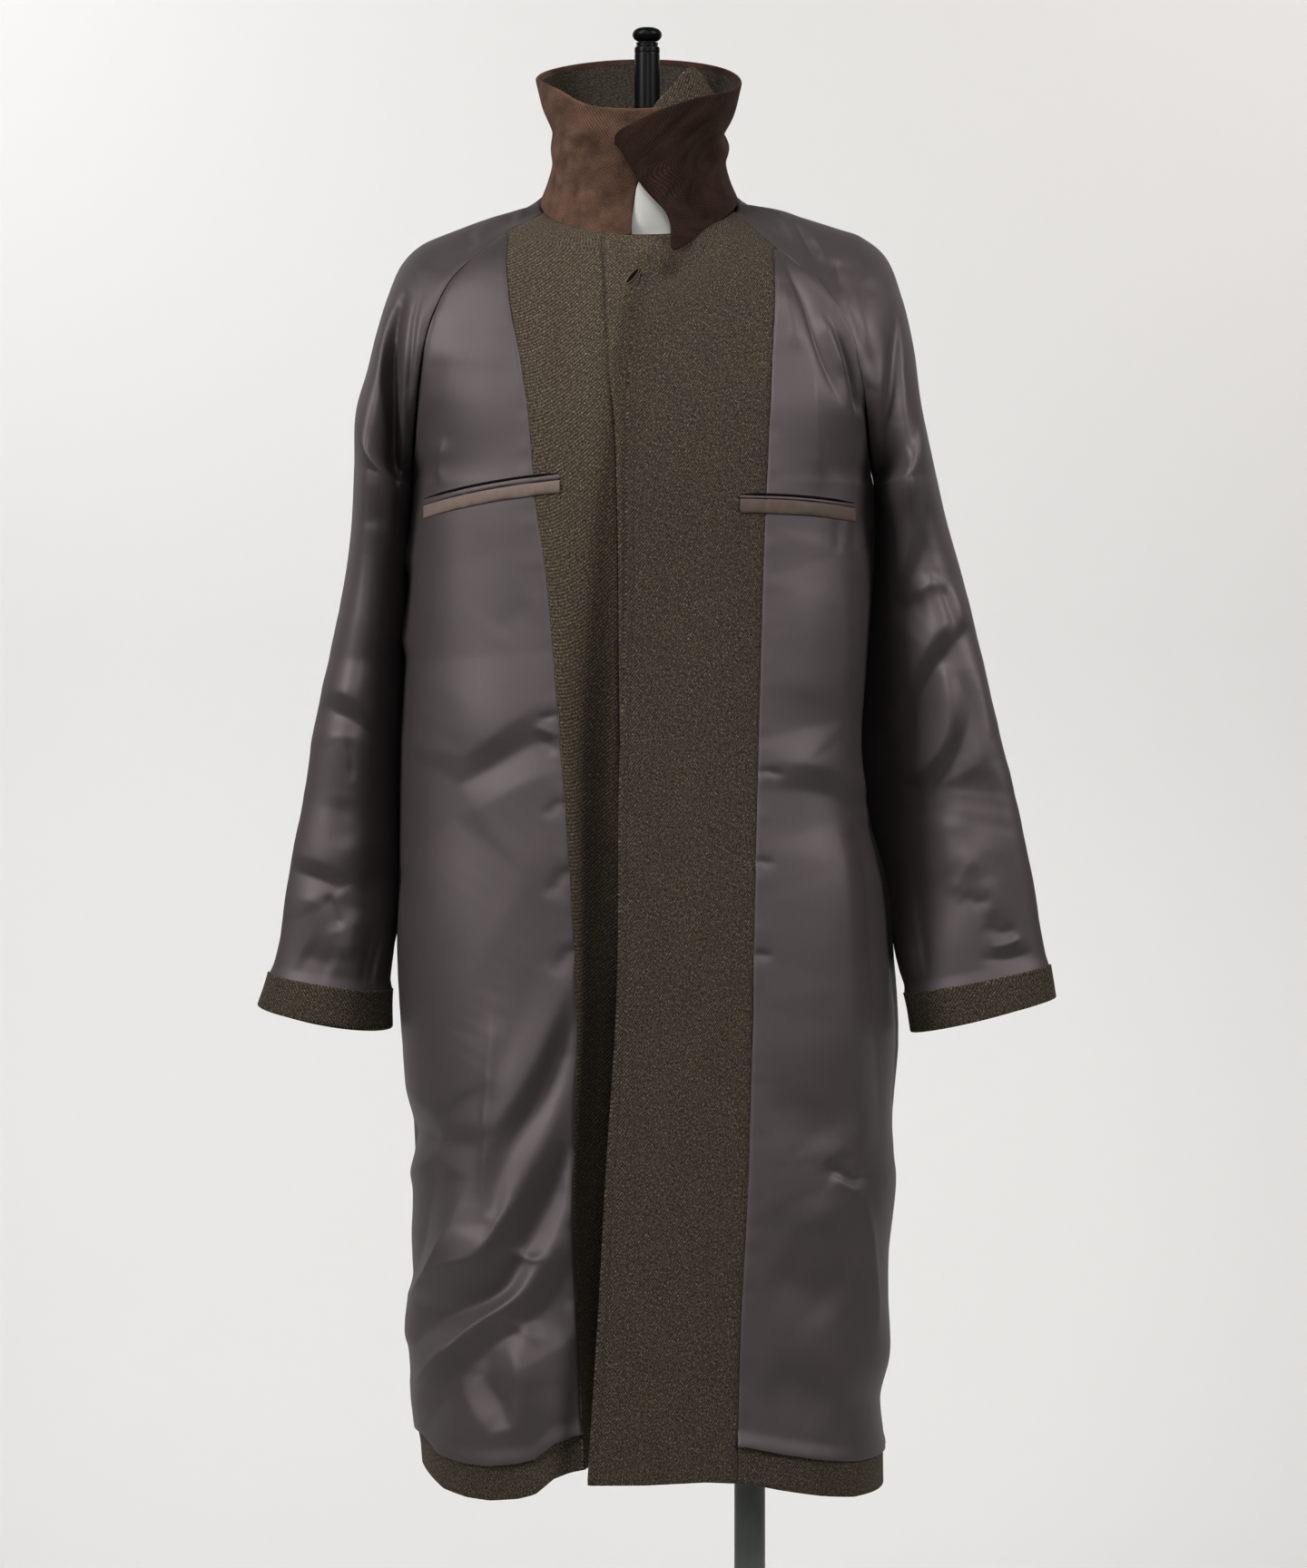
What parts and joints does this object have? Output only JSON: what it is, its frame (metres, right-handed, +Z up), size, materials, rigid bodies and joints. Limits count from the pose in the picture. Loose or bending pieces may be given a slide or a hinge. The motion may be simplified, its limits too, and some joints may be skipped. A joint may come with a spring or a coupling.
{
  "type": "balmacaan coat on a dress form",
  "caption": "Long raglan-sleeved balmacaan coat turned inside out, satin lining and wool facings outwards, collar up, on a limbless dress form with a pole stand.",
  "frame": {"origin": "centre of the stand base's underside, on the floor", "axes": "+Z up, +X to the right of someone facing the coat's front, -Y towards them"},
  "size_m": [0.7, 0.4, 1.667],
  "materials": {
    "lining_satin": "grey-brown satin lining with a soft sheen",
    "wool_twill": "matt olive-brown melange wool twill",
    "corduroy": "dark brown fine-wale corduroy",
    "welt_satin": "brown satin pocket welt",
    "form_cover": "white woven cover",
    "form_black": "glossy black",
    "stand_metal": "dark grey satin paint"
  },
  "bodies": {
    "root": {"lining_front_left": "lining_satin", "lining_front_right": "lining_satin", "lining_back": "lining_satin", "sleeve_front_left": "lining_satin", "sleeve_back_left": "lining_satin", "sleeve_front_right": "lining_satin", "sleeve_back_right": "lining_satin", "pocket_lip_left": "lining_satin", "pocket_lip_right": "lining_satin", "facing_left": "wool_twill", "fly_left": "wool_twill", "facing_right": "wool_twill", "hem_front_left": "wool_twill", "hem_front_right": "wool_twill", "hem_back": "wool_twill", "cuff_left": "wool_twill", "cuff_right": "wool_twill", "collar_inner": "wool_twill", "throat_tab": "wool_twill", "collar_outer": "corduroy", "pocket_welt_left": "welt_satin", "pocket_welt_right": "welt_satin", "form_torso": "form_cover", "neck_post": "form_black", "stand_pole": "stand_metal", "stand_base": "stand_metal"}
  },
  "joints": []
}
